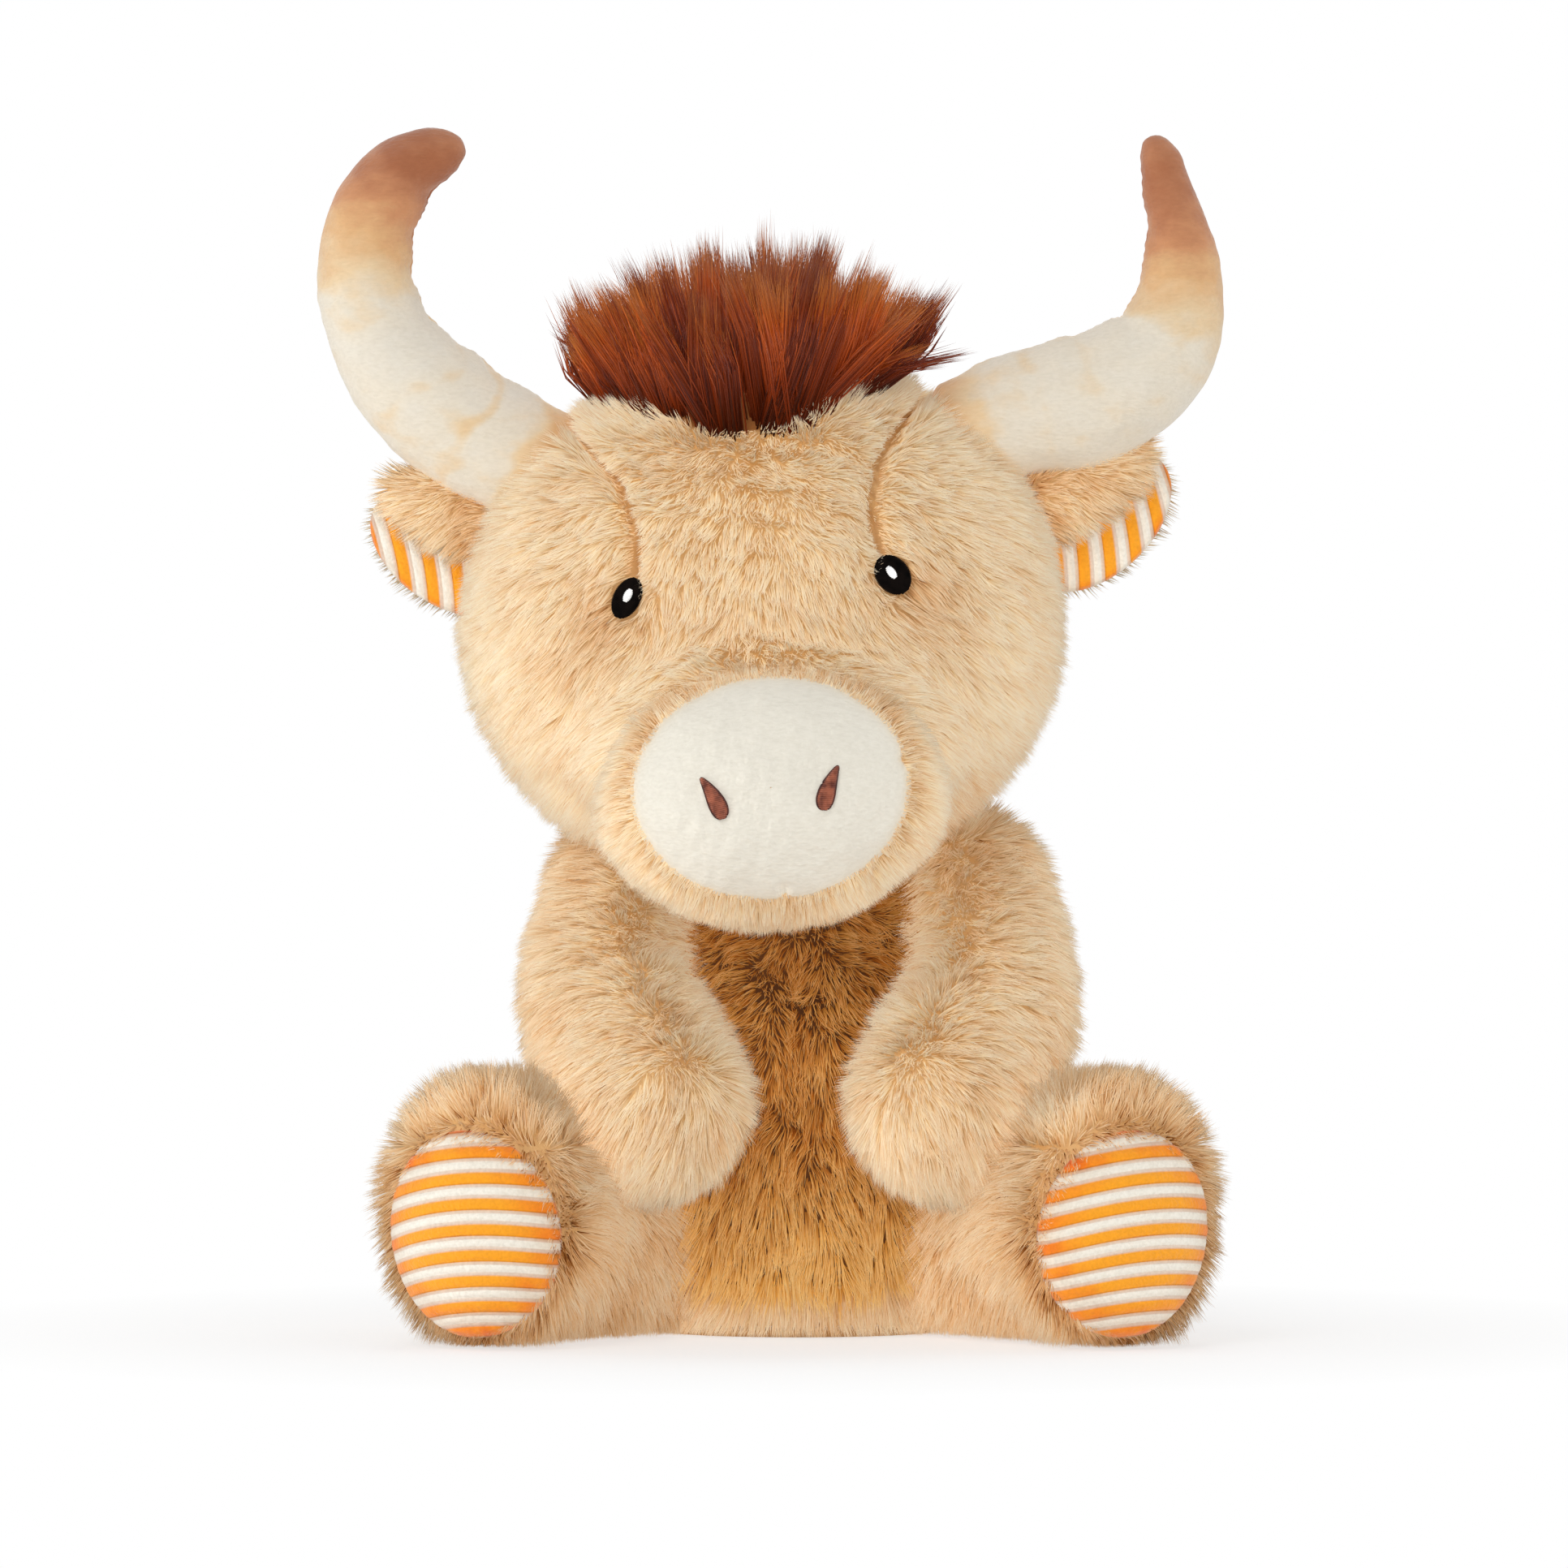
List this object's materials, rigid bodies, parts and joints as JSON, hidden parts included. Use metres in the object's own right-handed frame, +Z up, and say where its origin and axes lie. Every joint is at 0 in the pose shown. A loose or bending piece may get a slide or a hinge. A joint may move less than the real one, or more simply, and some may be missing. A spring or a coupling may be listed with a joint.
{
  "type": "plush cow",
  "caption": "Seated plush highland cow with long soft fur, curved velour horns, striped ear linings and soles, and turning head, swinging arms and splaying legs.",
  "frame": {"origin": "centre of the seat panel's flat underside, on the floor", "axes": "+Z up, -Y the way the face looks, +X to the viewer's right"},
  "size_m": [0.229, 0.1575, 0.3046],
  "materials": {
    "tan_fur": "long soft polyester pile, matt",
    "belly_fur": "long soft polyester pile, matt",
    "seat_cloth": "short pile, matt",
    "snout_velour": "short brushed velour, matt",
    "horn_velour": "short brushed velour with brown shaded tips, matt",
    "striped_velour": "ribbed velour, orange, white and beige stripes, matt",
    "hair_fibre": "straight glossy synthetic hair",
    "black_thread": "satin stitch embroidery, soft gloss",
    "white_thread": "satin stitch embroidery, soft gloss",
    "brown_thread": "satin stitch embroidery, soft gloss",
    "fibre_filling": "loose polyester fibre, matt",
    "pellet_cloth": "woven cloth bag, matt"
  },
  "bodies": {
    "torso": {"torso": "tan_fur", "belly_panel": "belly_fur", "seat_panel": "seat_cloth", "torso_stuffing": "fibre_filling", "pellet_bag": "pellet_cloth"},
    "neck": {"neck_plug": "fibre_filling"},
    "head": {"head": "tan_fur", "head_stuffing": "fibre_filling", "muzzle": "tan_fur", "snout_patch": "snout_velour", "nostril_left": "brown_thread", "nostril_right": "brown_thread", "eye_left": "black_thread", "eye_right": "black_thread", "eye_highlight_left": "white_thread", "eye_highlight_right": "white_thread", "hair_tuft": "hair_fibre"},
    "horn_left": {"horn_left": "horn_velour"},
    "horn_right": {"horn_right": "horn_velour"},
    "ear_left": {"ear_left": "tan_fur", "ear_lining_left": "striped_velour"},
    "ear_right": {"ear_right": "tan_fur", "ear_lining_right": "striped_velour"},
    "arm_left": {"arm_left": "tan_fur"},
    "arm_right": {"arm_right": "tan_fur"},
    "leg_left": {"leg_left": "tan_fur", "sole_left": "striped_velour"},
    "leg_right": {"leg_right": "tan_fur", "sole_right": "striped_velour"},
    "tail": {"tail": "tan_fur", "tail_tuft": "hair_fibre"}
  },
  "joints": [
    {"name": "head_turn", "type": "hinge", "parent": "torso", "child": "neck", "pos_m": [-0.0039, 0, 0.1217], "axis": [0, 0, 1], "range_deg": [-12, 12]},
    {"name": "head_nod", "type": "hinge", "parent": "neck", "child": "head", "pos_m": [-0.0039, 0, 0.1217], "axis": [-1, 0, 0], "range_deg": [-3, 7]},
    {"name": "horn_left_sway", "type": "hinge", "parent": "head", "child": "horn_left", "pos_m": [-0.06394, -0.011, 0.21934], "axis": [0, 1, 0], "range_deg": [-4, 4]},
    {"name": "ear_left_flop", "type": "hinge", "parent": "head", "child": "ear_left", "pos_m": [-0.07351, -0.009, 0.20595], "axis": [0, 1, 0], "range_deg": [-10, 10]},
    {"name": "arm_left_swing", "type": "hinge", "parent": "torso", "child": "arm_left", "pos_m": [-0.043, 0, 0.113], "axis": [-1, 0, 0], "range_deg": [-3, 22]},
    {"name": "leg_left_splay", "type": "hinge", "parent": "torso", "child": "leg_left", "pos_m": [-0.033, -0.008, 0], "axis": [0, 0, -1], "range_deg": [-3, 10]},
    {"name": "horn_right_sway", "type": "hinge", "parent": "head", "child": "horn_right", "pos_m": [0.03827, -0.011, 0.22828], "axis": [0, 1, 0], "range_deg": [-4, 4]},
    {"name": "ear_right_flop", "type": "hinge", "parent": "head", "child": "ear_right", "pos_m": [0.05955, -0.009, 0.21107], "axis": [0, 1, 0], "range_deg": [-10, 10]},
    {"name": "arm_right_swing", "type": "hinge", "parent": "torso", "child": "arm_right", "pos_m": [0.043, 0, 0.113], "axis": [-1, 0, 0], "range_deg": [-3, 22]},
    {"name": "leg_right_splay", "type": "hinge", "parent": "torso", "child": "leg_right", "pos_m": [0.033, -0.008, 0], "axis": [0, 0, 1], "range_deg": [-3, 10]},
    {"name": "tail_swing", "type": "hinge", "parent": "torso", "child": "tail", "pos_m": [0, 0.0488, 0.05], "axis": [0, 1, 0], "range_deg": [-14, 14]}
  ]
}
